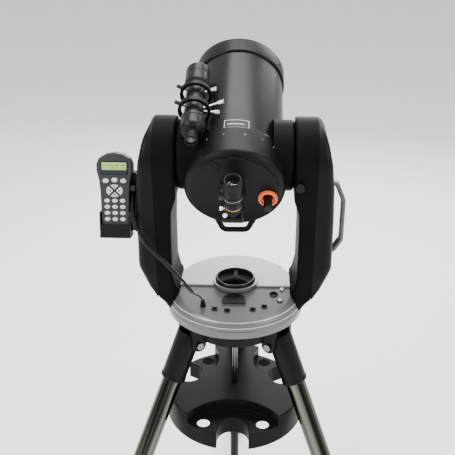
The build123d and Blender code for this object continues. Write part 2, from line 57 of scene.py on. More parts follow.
rod_low, rod_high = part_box("center_rod")
AXIS_Y = (rod_low.y + rod_high.y) / 2 / MM  # azimuth axis
GAP_Z = 792.0  # gap between the fixed base and the turning base
DECK_RISE = 44.0  # deck of the turning base above the gap
ALT_RISE = 386.0  # altitude axis above the gap
ALT_Z = GAP_Z + ALT_RISE
ALTITUDE = 23.4  # the tube's angle above level
DROP = 8.3  # the tube's axis below the altitude axis
TUBE_R = 113.0
CELL_R = 117.1  # rear cell
REAR_Z = 115.0  # rear face of the tube from the altitude axis; the front is at -Z
FINDER = (-95.9, 117.1)  # X and Y of the finder's axis from the tube's
FOCUSER = (77.0, -17.0)  # and of the focus knob's
PANEL_TILT = 8.3
HAND_TILT = 78.0
SPLAY = math.radians(22.7)
LEG_PIVOT_R = 138.3  # out from the azimuth axis
LEG_PIVOT_DROP = 88.0  # below the gap
LEG_ANGLES = {"left": 210.0, "right": 330.0, "rear": 90.0}


def spot(x, y, z):
    """Move to a point given in millimetres."""
    return Matrix.Translation((x * MM, y * MM, z * MM))


def turn(degrees, axis):
    """Rotation about one of the axes."""
    return Matrix.Rotation(math.radians(degrees), 4, axis)


AZ = spot(0, AXIS_Y, 0)
GAP = AZ @ spot(0, 0, GAP_Z)
TUBE = AZ @ spot(0, 0, ALT_Z) @ turn(90 + ALTITUDE, "X") @ spot(0, -DROP, 0)
PANEL = AZ @ spot(0, -20, GAP_Z + DECK_RISE) @ turn(PANEL_TILT, "X")
HAND = AZ @ spot(-287, -45, GAP_Z + 308) @ turn(HAND_TILT, "X")
FOCUS = TUBE @ spot(*FOCUSER, 0)
FIND = TUBE @ spot(*FINDER, 0)
EYE = TUBE @ spot(0, 0, REAR_Z + 75) @ turn(-90, "X")  # up the eyepiece from the tube's axis
LEG = {}
for side, angle in LEG_ANGLES.items():
    down = Vector((math.sin(SPLAY), 0, -math.cos(SPLAY)))
    across = Vector((0, 1, 0))
    out = down.cross(across)
    basis = Matrix((across, out, down)).transposed().to_4x4()
    LEG[side] = AZ @ turn(angle, "Z") @ spot(LEG_PIVOT_R, 0, GAP_Z - LEG_PIVOT_DROP) @ basis

# ------------------------------------------------------------------ camera
SENSOR = 36.0
LENS = 58.5455
CAMERA_PLACE = (52.63, -1670.41, 962.25)  # from the azimuth axis, at the height of the gap
CAMERA_DOWN = 0.430223  # radians below level
CAMERA_LEFT = 0.0434846  # radians to the left of the user's view
camera_data = bpy.data.cameras.new("camera")
camera_data.sensor_width = SENSOR
camera_data.lens = LENS
camera_data.clip_end = 200
camera = bpy.data.objects.new("camera", camera_data)
bpy.context.scene.collection.objects.link(camera)
camera.location = (GAP @ spot(*CAMERA_PLACE)).translation
camera.rotation_euler = (math.pi / 2 - CAMERA_DOWN, 0.0, CAMERA_LEFT)
bpy.context.scene.camera = camera


# ------------------------------------------------------------------ materials
GRAIN_DEPTH = 0.2 * MM
COAT_ROUGHNESS = 0.25


def surface(name, color, rough=0.5, metal=0.0, vary=0.12, grain=900.0, bump=0.05, stretch=(1, 1, 1),
            cloud=14.0, rough_vary=0.08, coat=0.0, specular=0.5, dust=0.0, spread=0.5):
    """Procedural finish: clouded colour, uneven gloss and a fine grain in the surface.

    The colour swings by the share vary as the mean of two noises, of scales cloud and grain, crosses the
    band of half width spread about a half. The gloss swings by rough_vary.
    """
    mat = bpy.data.materials.new(name)
    mat.use_nodes = True
    nodes = mat.node_tree.nodes
    link = mat.node_tree.links.new
    shader = nodes["Principled BSDF"]
    shader.inputs["Metallic"].default_value = metal
    shader.inputs["Coat Weight"].default_value = coat
    shader.inputs["Coat Roughness"].default_value = COAT_ROUGHNESS
    shader.inputs["Specular IOR Level"].default_value = specular
    where = nodes.new("ShaderNodeTexCoord")
    place = nodes.new("ShaderNodeMapping")
    place.inputs["Scale"].default_value = stretch
    link(where.outputs["Object"], place.inputs["Vector"])
    broad = nodes.new("ShaderNodeTexNoise")
    broad.inputs["Scale"].default_value = cloud
    broad.inputs["Detail"].default_value = 6.0
    link(where.outputs["Object"], broad.inputs["Vector"])
    fine = nodes.new("ShaderNodeTexNoise")
    fine.inputs["Scale"].default_value = grain
    fine.inputs["Detail"].default_value = 3.0
    link(place.outputs["Vector"], fine.inputs["Vector"])
    tint = nodes.new("ShaderNodeMix")
    tint.data_type = "RGBA"
    dark = [c * (1 - vary) for c in color] + [1.0]
    light = [min(1.0, c * (1 + vary) + dust) for c in color] + [1.0]
    tint.inputs["A"].default_value = dark
    tint.inputs["B"].default_value = light
    both = nodes.new("ShaderNodeMath")
    both.operation = "MULTIPLY_ADD"
    both.inputs[1].default_value = 0.5
    link(fine.outputs["Fac"], both.inputs[0])
    half = nodes.new("ShaderNodeMath")
    half.operation = "MULTIPLY"
    half.inputs[1].default_value = 0.5
    link(broad.outputs["Fac"], half.inputs[0])
    link(half.outputs[0], both.inputs[2])
    share = nodes.new("ShaderNodeMapRange")
    share.inputs["From Min"].default_value = 0.5 - spread
    share.inputs["From Max"].default_value = 0.5 + spread
    link(both.outputs[0], share.inputs["Value"])
    link(share.outputs["Result"], tint.inputs["Factor"])
    link(tint.outputs["Result"], shader.inputs["Base Color"])
    gloss = nodes.new("ShaderNodeMapRange")
    gloss.inputs["To Min"].default_value = max(0.02, rough - rough_vary)
    gloss.inputs["To Max"].default_value = min(1.0, rough + rough_vary)
    link(both.outputs[0], gloss.inputs["Value"])
    link(gloss.outputs["Result"], shader.inputs["Roughness"])
    relief = nodes.new("ShaderNodeBump")
    relief.inputs["Strength"].default_value = bump
    relief.inputs["Distance"].default_value = GRAIN_DEPTH
    link(fine.outputs["Fac"], relief.inputs["Height"])
    link(relief.outputs["Normal"], shader.inputs["Normal"])
    return mat


def glass(name, color, rough=0.02):
    """Clear coated glass with a faint smear in its gloss."""
    mat = surface(name, color, rough=rough, grain=60.0, bump=0.0, vary=0.05, rough_vary=0.015)
    shader = mat.node_tree.nodes["Principled BSDF"]
    shader.inputs["Transmission Weight"].default_value = 1.0
    shader.inputs["IOR"].default_value = 1.5
    return mat


M = {
    "arm_black": surface("arm_powder_coat", (0.004, 0.004, 0.0042), 0.5, grain=1500, bump=0.25, vary=0.5,
                         specular=0.03),
    "cover_black": surface("cover_moulding", (0.004, 0.004, 0.0043), 0.4, grain=1100, bump=0.3, vary=0.5,
                           specular=0.09),
    "black_casting": surface("painted_casting", (0.004, 0.004, 0.0042), 0.36, grain=1300, bump=0.3,
                             vary=0.5, specular=0.11),
    "tube_grey": surface("tube_paint", (0.006, 0.006, 0.0063), 0.28, grain=2600, bump=0.12, vary=0.3,
                         specular=0.15),
    "silver_paint": surface("silver_metallic_paint", (0.27, 0.272, 0.275), 0.34, metal=0.3, grain=2200,
                            bump=0.08, vary=0.08),
    # Darker copy of the silver paint: painted shade on the sloping panel, the upright sides and the lower
    # plate of the base.
    "silver_dark": surface("silver_panel_paint", (0.115, 0.117, 0.12), 0.34, metal=0.3, grain=2200,
                           bump=0.08, vary=0.1),
    # Light silver for painted highlights: thin bright rings along the rim edges of the base.
    "silver_edge": surface("worn_silver_edge", (0.80, 0.80, 0.81), 0.28, metal=0.3, grain=2200, vary=0.06),
    "black_plastic": surface("moulded_plastic", (0.006, 0.006, 0.0062), 0.34, grain=1800, bump=0.15,
                             vary=0.4, specular=0.18),
    "tray_plastic": surface("tray_moulding", (0.005, 0.005, 0.0052), 0.4, grain=1400, bump=0.2, vary=0.2,
                            specular=0.06),
    "orange_collar": surface("orange_plastic", (0.90, 0.13, 0.03), 0.42, grain=1500, bump=0.1, vary=0.08),
    # Steel of the legs: strong light and dark streaks along the tubes, partly the drawn steel's grain and
    # partly painted reflection.
    "leg_steel": surface("drawn_steel", (0.12, 0.117, 0.102), 0.2, metal=1.0, grain=1.0,
                         stretch=(75, 75, 0.6), cloud=0.4, spread=0.07, bump=0.3, vary=0.9, rough_vary=0.12),
    "bright_steel": surface("polished_steel", (0.78, 0.78, 0.79), 0.18, metal=1.0, bump=0.03, vary=0.08),
    "rod_steel": surface("dark_rod", (0.16, 0.16, 0.16), 0.24, metal=1.0, bump=0.2, vary=0.3),
    "black_steel": surface("black_oxide", (0.03, 0.03, 0.031), 0.36, metal=0.7, grain=1200, bump=0.1,
                           vary=0.2),
    "bronze": surface("machined_bronze", (0.36, 0.22, 0.08), 0.3, metal=1.0, bump=0.1, vary=0.15),
    "foot_rubber": surface("foot_rubber", (0.016, 0.016, 0.016), 0.75, grain=700, bump=0.4, vary=0.25,
                           dust=0.01),
    "eye_rubber": surface("eyecup_rubber", (0.006, 0.006, 0.006), 0.6, grain=1500, bump=0.3, vary=0.2,
                          specular=0.15),
    "mirror_glass": surface("aluminised_mirror", (0.86, 0.87, 0.88), 0.03, metal=1.0, grain=200, bump=0.0,
                            vary=0.03, rough_vary=0.01),
    "lens_glass": glass("coated_glass", (0.86, 0.95, 0.92)),
    "handset_grey": surface("handset_case", (0.016, 0.0175, 0.019), 0.4, grain=1500, bump=0.25, vary=0.18),
    "key_rubber": surface("key_silicone", (0.56, 0.57, 0.58), grain=1500, bump=0.15, vary=0.1),
    "lcd": surface("lcd_panel", (0.36, 0.56, 0.15), 0.25, bump=0.02, vary=0.06, coat=0.5),
    "navy": surface("navy_print", (0.008, 0.012, 0.028), 0.3, bump=0.02, vary=0.08),
    "cord_black": surface("cord_jacket", (0.006, 0.006, 0.0063), 0.26, grain=2000, bump=0.12, vary=0.2,
                          specular=0.3),
    "handle_grey": surface("handle_paint", (0.085, 0.087, 0.09), 0.34, metal=0.3, grain=1800, bump=0.12,
                           vary=0.1),
}


# ------------------------------------------------------------------ mesh building
SHARP_BEVEL = math.radians(32)
NEW_WELD = 1e-6  # in metres, as CAD_WELD
CAD_WELD = 2e-6


def finish_mesh(obj, mat, smooth=34):
    """Give a mesh its material and smooth shading between its sharp edges."""
    obj.data.materials.clear()
    obj.data.materials.append(mat)
    for face in obj.data.polygons:
        face.use_smooth = True
    obj.data.set_sharp_from_angle(angle=math.radians(smooth))


def bevel(obj, width):
    """Round the sharp edges."""
    mod = obj.modifiers.new("round", "BEVEL")
    mod.width = width * MM
    mod.segments = 2
    mod.limit_method = "ANGLE"
    mod.angle_limit = SHARP_BEVEL
    mod.harden_normals = True


def new_object(name, data):
    """An object in the scene."""
    obj = bpy.data.objects.new(name, data)
    bpy.context.scene.collection.objects.link(obj)
    return obj


def weld(mesh, gap):
    """Join points closer than gap and turn every face outwards."""
    bm = bmesh.new()
    bm.from_mesh(mesh)
    bmesh.ops.remove_doubles(bm, verts=bm.verts, dist=gap)
    bmesh.ops.recalc_face_normals(bm, faces=bm.faces)
    bm.to_mesh(mesh)
    bm.free()


def build(name, shape, finish, body, place=AZ, replaces=(), round_by=0.0, smooth=34):
    """One new piece from its (points, faces) in millimetres, in the frame of place.

    Its material is its finish.
    """
    points, faces = shape
    mesh = bpy.data.meshes.new(name)
    mesh.from_pydata([Vector(p) * MM for p in points], [], faces)
    weld(mesh, NEW_WELD)
    obj = new_object(name, mesh)
    obj.matrix_world = place
    finish_mesh(obj, M[finish], smooth)
    if round_by:
        bevel(obj, round_by)
    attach(obj, body)
    if replaces:
        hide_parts(*replaces)
    return obj


def refine(node, round_by, finish=""):
    """The shape of a CAD node with its edges rounded, in the finish of its slot or another."""
    mesh = NODES[node].data.copy()
    weld(mesh, CAD_WELD)
    if "custom_normal" in mesh.attributes:
        mesh.attributes.remove(mesh.attributes["custom_normal"])
    obj = new_object(node + "_skin", mesh)
    finish_mesh(obj, M[finish or SLOT_OF[node]], 30)
    if round_by:
        bevel(obj, round_by)
    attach(obj, BODY_OF[node])
    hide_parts(node)
    return obj


def join(*shapes):
    """Several (points, faces) as one."""
    points, faces = [], []
    for more, polygons in shapes:
        start = len(points)
        points += [tuple(p) for p in more]
        faces += [tuple(i + start for i in f) for f in polygons]
    return points, faces


def moved(shape, matrix):
    """A shape in millimetres moved by a matrix whose shift is in metres."""
    points, faces = shape
    shift = Matrix.Translation(matrix.translation / MM) @ matrix.to_3x3().to_4x4()
    return [tuple(shift @ Vector(p)) for p in points], faces


def rounded(points, radii, closed=True, steps=5):
    """Polyline with its corners rounded by arcs; one radius, or one for each corner."""
    count = len(points)
    if not isinstance(radii, (list, tuple)):
        radii = [radii] * count
    result = []
    for i, here in enumerate(points):
        here = Vector(here)
        ends = not closed and i in (0, count - 1)
        radius = radii[i]
        if ends or radius <= 0:
            result.append(here)
            continue
        before = Vector(points[i - 1]) - here
        after = Vector(points[(i + 1) % count]) - here
        half = before.angle(after) / 2
        if half > math.pi / 2 - 0.01:
            result.append(here)
            continue
        reach = min(radius / math.tan(half), 0.48 * before.length, 0.48 * after.length)
        radius = reach * math.tan(half)
        first = here + before.normalized() * reach
        last = here + after.normalized() * reach
        middle = here + (before.normalized() + after.normalized()).normalized() * radius / math.sin(half)
        for k in range(steps + 1):
            way = (first - middle).lerp(last - middle, k / steps)
            result.append(middle + way.normalized() * radius)
    return result


def lathe(profile, steps=96):
    """Turn a closed outline of (radius, height) points about Z."""
    points, faces = [], []
    for radius, height in profile:
        for k in range(steps):
            a = 2 * math.pi * k / steps
            points.append((radius * math.cos(a), radius * math.sin(a), height))
    rows = len(profile)
    for i in range(rows):
        j = (i + 1) % rows
        for k in range(steps):
            n = (k + 1) % steps
            faces.append((i * steps + k, i * steps + n, j * steps + n, j * steps + k))
    return points, faces


def soft_lathe(profile, radius=1.0, steps=96):
    """Turned shape whose profile corners are rounded."""
    return lathe(rounded(profile, radius, steps=3), steps)


def prism(outline, low, high):
    """Flat outline extruded along Z."""
    n = len(outline)
    points = [(p[0], p[1], z) for z in (low, high) for p in outline]
    faces = [tuple(range(n)), tuple(range(n, 2 * n))]
    faces += [(i, (i + 1) % n, n + (i + 1) % n, n + i) for i in range(n)]
    return points, faces


def loft(rings):
    """Closed skin over rings of equally many points."""
    n = len(rings[0])
    points = [tuple(p) for ring in rings for p in ring]
    faces = []
    for r in range(len(rings) - 1):
        for i in range(n):
            j = (i + 1) % n
            faces.append((r * n + i, r * n + j, (r + 1) * n + j, (r + 1) * n + i))
    faces += [tuple(range(n)), tuple(range((len(rings) - 1) * n, len(rings) * n))]
    return points, faces


def sweep(path, section, up=(0, 0, 1)):
    """Section of (across, up) points carried along a path without twisting."""
    path = [Vector(p) for p in path]
    rings = []
    side = None
    for i, here in enumerate(path):
        ahead = (path[min(i + 1, len(path) - 1)] - path[max(i - 1, 0)]).normalized()
        if side is None:
            side = ahead.cross(Vector(up)).normalized()
        side = (side - ahead * side.dot(ahead)).normalized()
        top = side.cross(ahead)
        rings.append([here + side * a + top * b for a, b in section])
    return loft(rings)


def circle(radius, steps):
    """Points round a circle."""
    angles = [2 * math.pi * k / steps for k in range(steps)]
    return [(radius * math.cos(a), radius * math.sin(a)) for a in angles]


def along(table, h):
    """Value at h on a table of (h, value)."""
    for (a, u), (b, v) in zip(table, table[1:]):
        if h <= b:
            return u + (v - u) * (h - a) / (b - a)
    return table[-1][1]


def screw(head_r, head_h, socket_r):
    """Socket head screw, its domed head standing on Z = 0."""
    profile = [(0, head_h * 0.45), (socket_r, head_h * 0.45), (socket_r, head_h), (head_r * 0.75, head_h),
               (head_r, head_h * 0.55), (head_r, -0.5), (0, -0.5)]
    return lathe(profile, 24)


def radial(angle, reach, along_tube):
    """On the tube, Z pointing outwards at an angle about its axis."""
    return TUBE @ turn(angle, "Z") @ spot(reach, 0, along_tube) @ turn(90, "Y")


# ------------------------------------------------------------------ optical tube
wall = lathe([(TUBE_R, -275), (TUBE_R, 58), (TUBE_R - 2, 58), (TUBE_R - 2, -275)], 160)
build("tube_wall", wall, "tube_grey", "tube", TUBE, ["optical_tube"])

# Front cell, its outline going round from the tube past the rim to the corrector's seat
front = [
    (113.1, -267.6), (115.2, -267.6), (117.5, -271), (117.7, -296), (117.5, -319), (115, -322), (107, -322),
    (105.5, -320.6), (101.7, -317.5), (101.5, -311.2), (104.4, -311), (104.4, -306), (101.5, -305.8),
    (101.5, -275), (112.9, -275),
]
build("front_cell_ring", soft_lathe(front, 1.0, 160), "black_casting", "tube", TUBE, ["front_cell"],
      smooth=40)
for i in range(6):
    build(f"front_cell_screw_{i}", screw(2.6, 1.4, 1.3), "black_steel", "tube",
          radial(31 + 60 * i, CELL_R + 0.2, -288.5))

# Rear cell, with the raised crest and boss on its back
cell = [
    (113.05, 26), (116.2, 26), (CELL_R, 27), (CELL_R, 101), (115.6, 106), (111, 111), (101, 114.4),
    (0, REAR_Z), (0, 108.2), (107, 108), (107, 50.2), (111, 50), (111, 58.2), (113.05, 58.2),
]
cell_corners = [0, 1, 1, 3, 4, 4, 6] + [0] * 7
body = lathe(rounded(cell, cell_corners, steps=4), 160)
build("rear_cell_body", body, "black_casting", "tube", TUBE, ["rear_cell"], smooth=40)
crest = rounded([
    (-76, 76), (-44, 97), (-7, 105.5), (22, 103), (66, 81), (94, 47), (104, 20), (92, 21), (68, 26), (43, 38),
    (26, 44), (8, 62), (-11, 70), (-30, 88), (-50, 84), (-66, 74),
], 7, steps=3)
build("rear_cell_crest", prism(crest, REAR_Z - 1.5, REAR_Z + 2.6), "black_casting", "tube", TUBE,
      round_by=1.6)
boss = soft_lathe([(0, 113), (14, 113), (13, 118.4), (11, 120), (0, 120)], 1.4, 48)
build("rear_cell_boss", boss, "black_casting", "tube", TUBE @ spot(-45, 80, 0))
neck = soft_lathe([
    (16, 114), (27, 114), (27, 118), (24.6, 120), (24.6, 134.4), (23.4, 135.2), (16, 135.2),
], 0.8, 72)
build("visual_back", neck, "black_casting", "tube", TUBE)

# Handle below the rear cell: a bar carried along a flat U
HANDLE_Z = 98
handle_corners = [(x, y, HANDLE_Z) for x, y in ((-45, -104), (-28.5, -149), (29, -148), (47, -104))]
handle_path = rounded(handle_corners, [0, 15, 15, 0], closed=False, steps=6)
handle_bar = rounded([(-6.4, -5.2), (6.4, -5.2), (6.4, 5.2), (-6.4, 5.2)], 3.2, steps=3)
build("rear_handle", sweep(handle_path, handle_bar), "black_casting", "tube", TUBE)
for i, (x, y) in enumerate([(-25, 114), (23, 115), (62, 99), (88, 77), (-64, 98), (0, -104)]):
    around = math.degrees(math.atan2(y, x))
    build(f"rear_cell_screw_{i}", screw(2.4, 1.3, 1.3), "rod_steel", "tube",
          radial(around, CELL_R - 0.5, 50))


def curved_strip(radius, a0, a1, z0, z1, thick, steps=24):
    """Thin plate lying on the tube between two angles and two distances along it."""
    rings = []
    for k in range(steps + 1):
        a = a0 + (a1 - a0) * k / steps
        c, s = math.cos(a), math.sin(a)
        corners = [(radius, z0), (radius, z1), (radius + thick, z1), (radius + thick, z0)]
        rings.append([(r * c, r * s, z) for r, z in corners])
    return loft(rings)


# Label, blank but for one bar inside its frame
LABEL_FROM, LABEL_TO = math.radians(74), math.radians(103)
LABEL_LOW, LABEL_HIGH = -2.5, 23.6
LABEL_THICK = 0.35
LINE_WIDE = 1.2
LINE_TURN = 0.01  # width of an upright line, as an angle
plate = curved_strip(TUBE_R - 0.1, LABEL_FROM, LABEL_TO, LABEL_LOW, LABEL_HIGH, LABEL_THICK)
build("tube_label", plate, "black_plastic", "tube", TUBE)
line_r = TUBE_R + 0.1
label_lines = join(
    curved_strip(line_r, LABEL_FROM, LABEL_TO, LABEL_LOW, LABEL_LOW + LINE_WIDE, LABEL_THICK),
    curved_strip(line_r, LABEL_FROM, LABEL_TO, LABEL_HIGH - LINE_WIDE, LABEL_HIGH, LABEL_THICK),
    curved_strip(line_r, LABEL_FROM, LABEL_FROM + LINE_TURN, LABEL_LOW, LABEL_HIGH, LABEL_THICK, 2),
    curved_strip(line_r, LABEL_TO - LINE_TURN, LABEL_TO, LABEL_LOW, LABEL_HIGH, LABEL_THICK, 2),
    curved_strip(line_r, LABEL_FROM + 0.10, LABEL_TO - 0.06, 10.5, 12.5, LABEL_THICK),
)
build("tube_label_frame", label_lines, "key_rubber", "tube", TUBE)
# Painted highlight: a thin strip of polished steel on the rear cell's collar, where its edge catches the
# light.
painted_glint = curved_strip(CELL_R - 0.1, math.radians(34), math.radians(56), 25.7, 26.7, 0.3)
build("rear_cell_glint", painted_glint, "bright_steel", "tube", TUBE)
refine("side_hubs", 2.5)
refine("corrector_plate", 0.0)
refine("secondary_mirror", 0.8)
refine("baffle_tube", 0.3)

# ------------------------------------------------------------------ focuser
collar = soft_lathe([
    (12, 115), (22, 115), (22, 123), (20.6, 124.2), (17.4, 124.2), (15.4, 119.5), (12, 118.5),
], 0.8, 72)
build("focus_collar_ring", collar, "orange_collar", "tube", FOCUS, ["focus_collar"])


def knurled(radius, low, high, teeth, cut):
    """Grip with rounded flutes, closed at both ends and drawn in towards the high one."""
    rings = []
    steps = teeth * 6
    for z, scale in ((low, 1.0), (high - 2.0, 1.0), (high - 0.6, 0.965), (high, 0.9)):
        ring = []
        for k in range(steps):
            a = 2 * math.pi * k / steps
            r = radius - cut * (0.5 + 0.5 * math.cos(a * teeth)) ** 3
            ring.append((r * scale * math.cos(a), r * scale * math.sin(a), z))
        rings.append(ring)
    return loft(rings)


focus_stem = lathe([(0, 100), (4, 100), (4, 121), (0, 121)], 24)
build("focus_grip", join(knurled(10, 119.5, 153.4, 16, 0.9), focus_stem), "black_plastic", "focus_knob",
      FOCUS, ["focus_knob"])

# ------------------------------------------------------------------ star diagonal and eyepiece
HALF_ELBOW = 22.5
side_view = rounded([(-22.8, 166), (-22.8, 189), (-1, 211.6), (12.8, 211.6), (12.8, 166)], [3, 5, 5, 3, 3],
                    steps=4)
points, faces = prism(side_view, -HALF_ELBOW, HALF_ELBOW)
elbow = [(z, x, y) for x, y, z in points], faces
build("diagonal_body", elbow, "black_casting", "diagonal", TUBE, ["star_diagonal"], round_by=2.2)
nose = soft_lathe([(14, 136.4), (20, 136.4), (20, 152), (21.6, 154), (21.6, 166.4), (14, 166.4)], 0.8, 64)
build("diagonal_nose", nose, "black_casting", "diagonal", TUBE)
barrel = soft_lathe([(14, 122), (15.8, 122), (15.8, 137), (14, 137)], 0.4, 64)
build("diagonal_barrel", barrel, "bright_steel", "diagonal", TUBE)
holder = soft_lathe([
    (15.95, 10), (19.4, 10), (19.5, 31), (18.6, 32), (18.6, 35), (19.5, 35.4), (19.5, 36), (15.95, 36),
], 0.5, 64)
build("diagonal_holder", holder, "black_casting", "diagonal", EYE)
tan_ring = soft_lathe([(18.6, 31.8), (19.4, 31.8), (19.4, 34.8), (18.6, 34.8)], 0.2, 64)
build("diagonal_band", tan_ring, "bronze", "diagonal", EYE)
eyepiece = soft_lathe([
    (13, 6), (15.8, 6), (15.8, 36.3), (19.6, 36.6), (20.8, 38), (20.9, 50), (19.9, 51), (19.9, 53),
    (20.8, 54), (20.9, 66), (20, 69), (20, 89), (13, 89),
], 0.5, 72)
build("eyepiece_body", eyepiece, "black_casting", "eyepiece", EYE, ["eyepiece"])
band = soft_lathe([(20.2, 60.7), (20.98, 60.7), (20.98, 61.4), (20.2, 61.4)], 0.3, 72)
build("eyepiece_band", band, "bright_steel", "eyepiece", EYE)
cup = soft_lathe([
    (12.6, 88), (20.2, 88), (20.6, 90), (20.2, 104), (19.2, 111.2), (17.4, 112), (15.4, 110.4), (13.2, 102),
], 0.9, 72)
build("eyecup", cup, "eye_rubber", "eyepiece", EYE)
lens = soft_lathe([(0, 97.5), (7, 97.2), (13, 96), (13, 93), (0, 93)], 0.5, 48)
build("eye_lens", lens, "lens_glass", "eyepiece", EYE)


def thumb_screw(foot, tip, length, radius):
    """Knurled thumb screw along Z: a shank from foot up to tip, then the head."""
    stem = lathe([(0, foot), (2, foot), (2, tip + 0.5), (0, tip + 0.5)], 20)
    grip = knurled(radius, tip, tip + length, 14, 0.55)
    flange_r = radius * 0.7
    low, high = tip - 1.8, tip + 0.2
    flange = soft_lathe([(0, low), (flange_r, low), (flange_r, high), (0, high)], 0.4, 24)
    return join(stem, grip, flange)


LOCK_HEAD_R = 4.8
for i, around in enumerate((-90, -40)):
    at = TUBE @ spot(0, 22, REAR_Z + 75) @ turn(around, "Y")
    build(f"diagonal_lock_{i}", thumb_screw(17.5, 23.5, 6.3, LOCK_HEAD_R), "bright_steel", "diagonal", at)
for i, around in enumerate((150, 200)):
    build(f"visual_back_lock_{i}", thumb_screw(16.6, 26, 11, LOCK_HEAD_R), "black_steel", "tube",
          radial(around, 0, REAR_Z + 12))

# ------------------------------------------------------------------ finder
scope = soft_lathe([
    (24, -157), (27.4, -158), (27.6, -174.7), (29.2, -174.7), (29.7, -173), (29.7, -150), (29.2, -149),
    (29.2, -147.5), (29.7, -146.5), (29.7, -118), (25, -108), (23.2, -104.6), (23, -101), (23, -3),
    (24.6, -1), (28.4, 3), (28.5, 12), (27.6, 13), (27.6, 15), (28.5, 16), (28.5, 41), (25, 48), (16, 49.6),
    (14.6, 50), (14.6, 56), (13.4, 57), (13.4, 63), (0, 63), (0, 50), (20, 44), (20, -104), (24, -116),
], 1.2, 96)
build("finder_body", scope, "tube_grey", "tube", FIND, ["finder_scope"], smooth=40)
objective = soft_lathe([(0, -166), (12, -165.2), (27.4, -162.5), (27.4, -158.2), (0, -158.2)], 0.6, 64)
build("finder_objective", objective, "lens_glass", "tube", FIND)
finder_eye = soft_lathe([
    (0, 73), (10.6, 73.6), (11, 77.4), (12, 78), (14.8, 77.6), (15.4, 75), (15.4, 71.6), (13.6, 70),
    (13.4, 62), (0, 62),
], 0.7, 64)
build("finder_eyepiece", finder_eye, "eye_rubber", "tube", FIND)
finder_lens = soft_lathe([(0, 75.4), (5, 75.1), (10.4, 74.4), (10.4, 73.3), (0, 73.3)], 0.3, 40)
build("finder_eye_lens", finder_lens, "lens_glass", "tube", FIND)
refine("finder_bracket", 1.4)
RING_Z = {"rear": -29, "front": -88}
FINDER_TUBE_R = 23.6
HEAD_LONG = 12
SCREWS = [  # ring, angle round the finder, end of the head, finish
    ("rear", 22, 74, "bright_steel"), ("rear", -5, 58, "bright_steel"), ("front", 20, 52, "bright_steel"),
    ("front", 150, 50, "black_steel"), ("rear", 150, 50, "black_steel"),
]
for k, (ring, around, end, finish) in enumerate(SCREWS):
    at = FIND @ spot(0, 0, RING_Z[ring]) @ turn(around, "Z") @ turn(90, "Y")
    grip = thumb_screw(FINDER_TUBE_R, end - HEAD_LONG, HEAD_LONG, 4.5)
    build(f"finder_screw_{k}", grip, finish, "tube", at, ["thumb_screws"] if k == 0 else ())

# ------------------------------------------------------------------ fork arms
# Outlines of the right arm, as (height above the gap, X or Y)
OUTER = [
    (2, 168), (58, 210), (117, 237), (250, 235), (330, 231), (390, 224), (434, 214), (464, 204), (479, 191),
]
INNER = [(2, 138.5), (46, 138.5), (58, 146), (92, 153), (200, 153), (262, 151), (300, 138.5), (479, 138.5)]
BACK = [(2, 72), (60, 78), (180, 76), (270, 80), (ALT_RISE, 92)]
FRONT = [(2, -70), (24, -72), (46, -68), (100, -76), (180, -76), (270, -80), (ALT_RISE, -92)]
ARM_TOP_R = 92.0
SPLIT = 190.0  # X of the joint between casting and cover
SEAM = 0.1  # half the gap at the joint
LEVEL_STEP = 9
CROWN_FROM = 440  # from here up the outer side curves in to the top
CROWN = [428, 434, CROWN_FROM, 446, 452, 458, 463, 467, 471, 474, 476.5, 478]
CROWN_HIGH = 39


def arm_ring(height, low_x, high_x, corner_low, corner_high, toe):
    """Rounded rectangle across the arm at one height; toe widens the inner front corner."""
    if height <= ALT_RISE:
        back, ahead = along(BACK, height), along(FRONT, height)
    else:
        back = math.sqrt(max(ARM_TOP_R ** 2 - (height - ALT_RISE) ** 2, 9.0))
        ahead = -back
    limit = 0.48 * min(back - ahead, 2 * (high_x - low_x))
    radii = [min(r, limit) for r in (corner_low + toe, corner_high, corner_high, corner_low)]
    outline = rounded([(low_x, ahead), (high_x, ahead), (high_x, back), (low_x, back)], radii, steps=7)
    return [(p[0], p[1], GAP_Z + height) for p in outline]


def arm_half(outside):
    """Casting inside the split line or cover outside it."""
    heights = list(range(33 if outside else 2, 424, LEVEL_STEP)) + CROWN
    rings = []
    for h in heights:
        out = along(OUTER, h)
        if h > CROWN_FROM:
            narrowing = max(0.02, 1 - ((h - CROWN_FROM) / CROWN_HIGH) ** 2.5)
            out = SPLIT + 1 + (out - SPLIT - 1) * narrowing
        if outside:
            rings.append(arm_ring(h, SPLIT + SEAM, max(out, SPLIT + 1.5), 0.7, 30.0, 0.0))
        else:
            outer_corner = 0.7 if out > SPLIT else 9.0
            outer_corner += max(0.0, 1 - h / 31) * 24
            toe = max(0.0, 1 - h / 60) * 30
            rings.append(arm_ring(h, along(INNER, h), min(SPLIT - SEAM, out), 9.0, outer_corner, toe))
    return loft(rings)


def flipped(shape):
    """Mirror image across X = 0."""
    points, faces = shape
    return [(-x, y, z) for x, y, z in points], faces


for side in ("right", "left"):
    for outside, node, finish in ((False, "fork_arm_", "arm_black"), (True, "arm_cover_", "cover_black")):
        shape = arm_half(outside)
        if side == "left":
            shape = flipped(shape)
        build(node + side + "_shell", shape, finish, "mount", replaces=[node + side], smooth=50)

# ------------------------------------------------------------------ turning base
# The sloping panel and the upright sides take a darker copy of the silver paint, painted shade where they
# face away from the top light.
deck = refine("upper_base", 1.6)
deck.data.materials.append(M["silver_dark"])
slope = (PANEL.to_3x3() @ Vector((0, 0, 1))).normalized()
level = PANEL.inverted() @ deck.matrix_world
for face in deck.data.polygons:
    height = (level @ face.center).z / MM
    on_panel = face.normal.dot(slope) > 0.995 and abs(height) < 4
    if on_panel or abs(face.normal.z) < 0.8:
        face.material_index = 1
